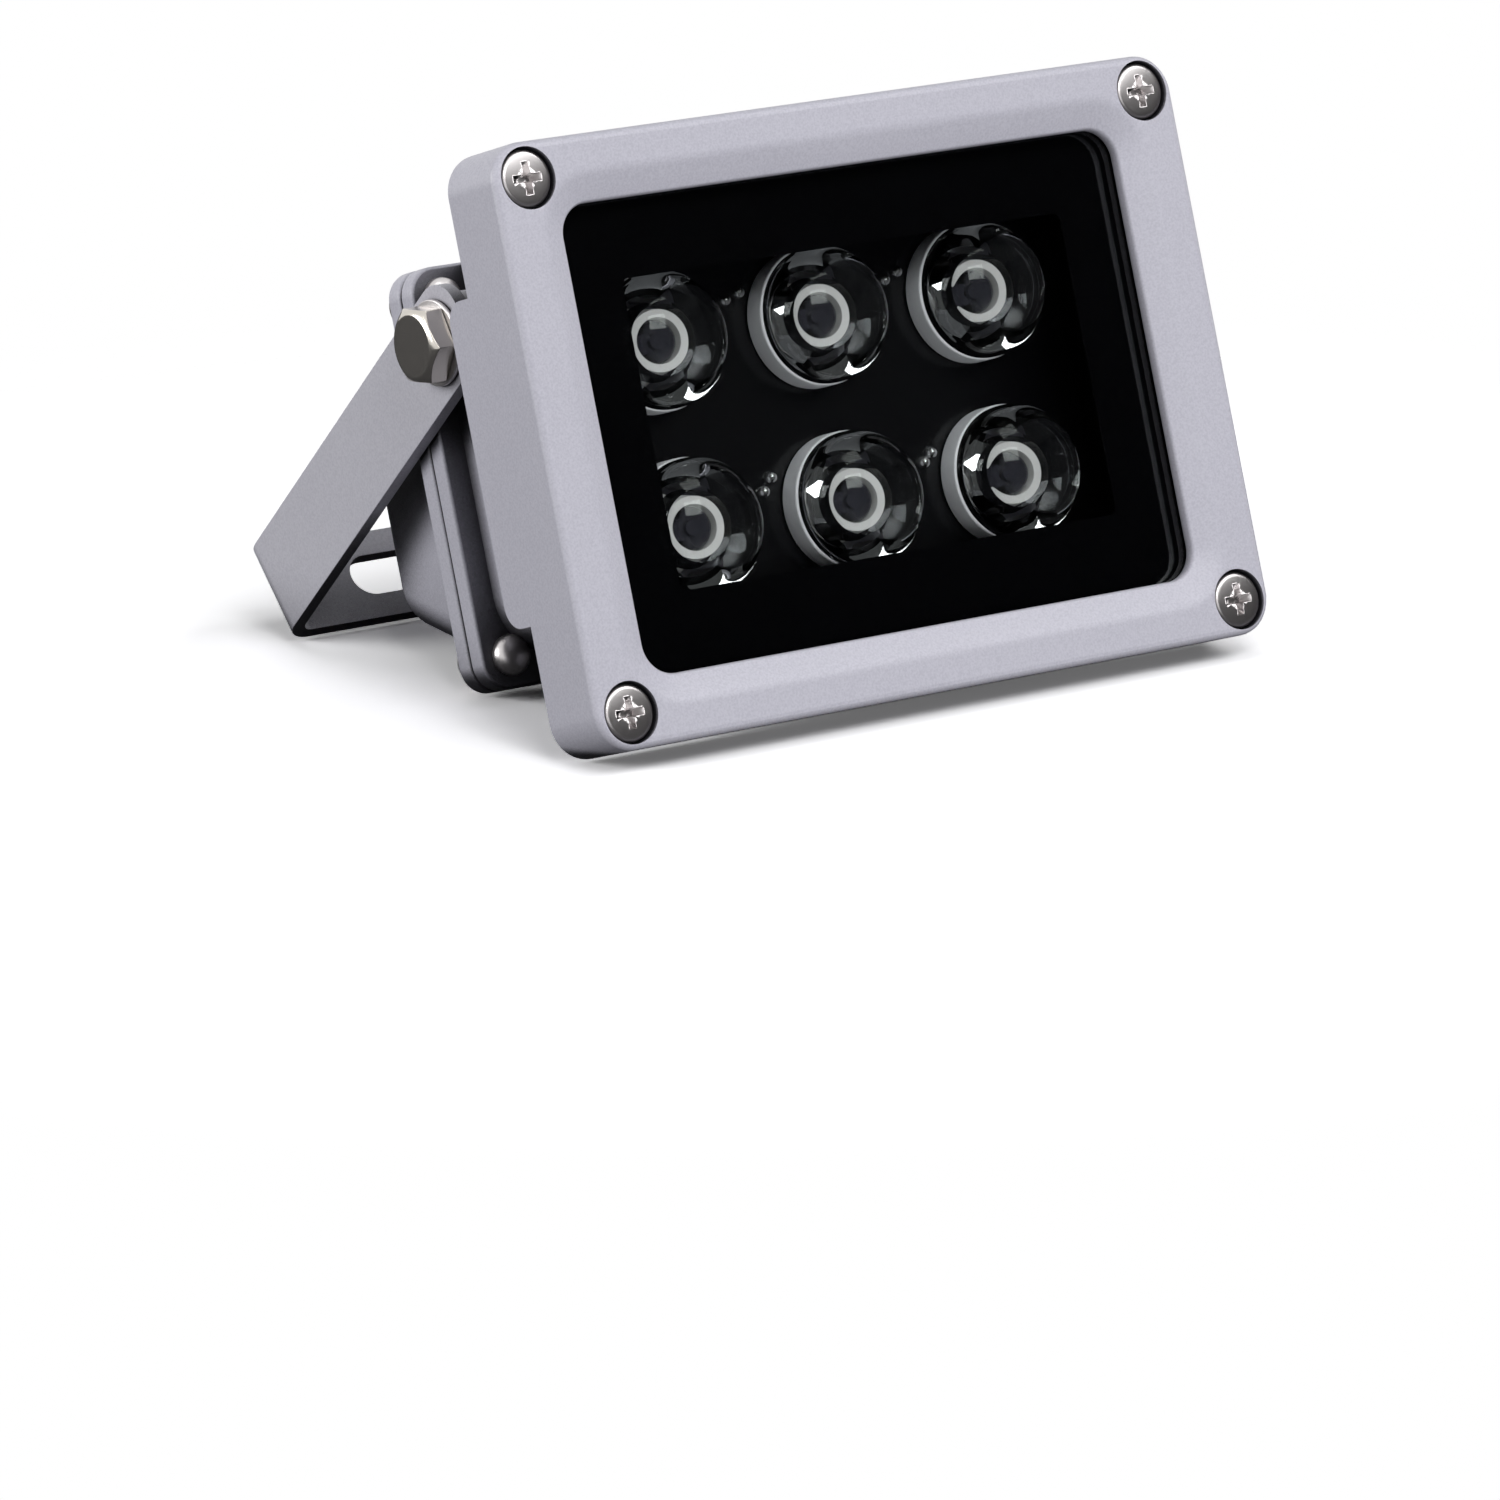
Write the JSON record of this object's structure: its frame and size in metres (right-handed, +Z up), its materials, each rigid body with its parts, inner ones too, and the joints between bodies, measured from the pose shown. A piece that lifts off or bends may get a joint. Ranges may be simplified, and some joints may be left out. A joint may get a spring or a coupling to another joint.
{
  "type": "infrared illuminator",
  "caption": "Wide low infrared lamp head with a dark window over dome lenses, finned at the back, tilting in a bent strip bracket with a slotted foot.",
  "frame": {"origin": "middle of the ground under the lamp as it rests on its bezel, rear flange and foot", "axes": "+X across the face to the right as seen from the front, +Y from the face towards the foot, +Z up"},
  "size_m": [0.115, 0.1007, 0.0822],
  "materials": {
    "painted_casting": "grey powder coat on a die casting",
    "painted_strip": "grey powder coat on bent steel strip",
    "steel": "plain bright steel",
    "window_glass": "polished, with a black printed border",
    "clear_lens": "clear moulded",
    "holder": "pale satin moulding",
    "emitter": "white package with a silicone dome",
    "board": "black solder mask",
    "rubber": "matt",
    "black_plastic": "fine matt moulding",
    "component": "sleeved component"
  },
  "bodies": {
    "bracket": {"bracket": "painted_strip"},
    "head": {"front_bezel": "painted_casting", "window_glass": "window_glass", "glass_gasket": "rubber", "bezel_screw_1": "steel", "bezel_screw_2": "steel", "bezel_screw_3": "steel", "bezel_screw_4": "steel", "lens_1": "clear_lens", "lens_holder_1": "holder", "led_1": "emitter", "lens_2": "clear_lens", "lens_holder_2": "holder", "led_2": "emitter", "lens_3": "clear_lens", "lens_holder_3": "holder", "led_3": "emitter", "lens_4": "clear_lens", "lens_holder_4": "holder", "led_4": "emitter", "lens_5": "clear_lens", "lens_holder_5": "holder", "led_5": "emitter", "lens_6": "clear_lens", "lens_holder_6": "holder", "led_6": "emitter", "led_board": "board", "board_screw_1": "steel", "board_screw_2": "steel", "board_screw_3": "steel", "board_screw_4": "steel", "housing": "painted_casting", "driver_board": "board", "driver_capacitor": "component", "driver_coil": "component", "terminal_block": "black_plastic", "led_lead_1": "rubber", "led_lead_2": "rubber", "rear_gasket": "rubber", "rear_cover": "painted_casting", "rear_screw_1": "steel", "rear_screw_2": "steel", "rear_screw_3": "steel", "rear_screw_4": "steel", "gland_body": "black_plastic", "gland_cap": "black_plastic", "gland_locknut": "black_plastic", "gland_seal": "rubber", "pivot_washer_left": "steel", "pivot_bolt_left": "steel", "pivot_washer_right": "steel", "pivot_bolt_right": "steel"}
  },
  "joints": [
    {"name": "tilt", "type": "hinge", "parent": "bracket", "child": "head", "pos_m": [0, -0.00103, 0.05065], "axis": [1, 0, 0], "range_deg": [-143, 73]}
  ]
}
